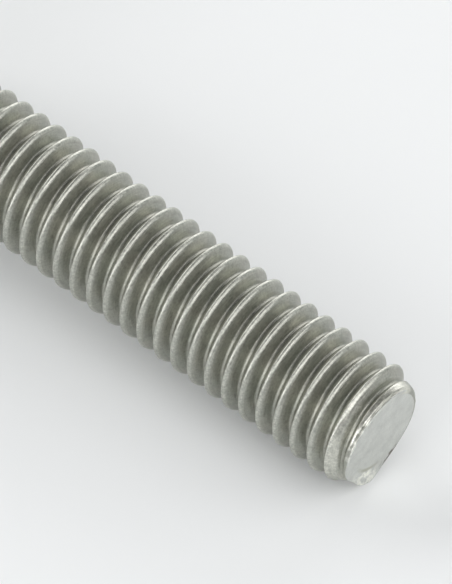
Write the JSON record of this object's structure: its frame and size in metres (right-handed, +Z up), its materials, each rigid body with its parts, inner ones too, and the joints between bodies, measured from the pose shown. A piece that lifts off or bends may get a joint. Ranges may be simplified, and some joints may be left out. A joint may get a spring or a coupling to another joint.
{
  "type": "square head machine screw",
  "caption": "Square head machine screw with a right-hand thread to the head, a short plain neck and a chamfered point, lying on its side.",
  "frame": {"origin": "on the surface that the screw lies on, under the middle of its box", "axes": "+X along the shank towards the point, +Z up; the shank leans 4 degrees down towards the point, as the screw rests on its head and its last full turn"},
  "size_m": [0.0344, 0.01, 0.0102],
  "materials": {
    "stainless_steel": "satin"
  },
  "bodies": {
    "root": {"screw": "stainless_steel"}
  },
  "joints": []
}
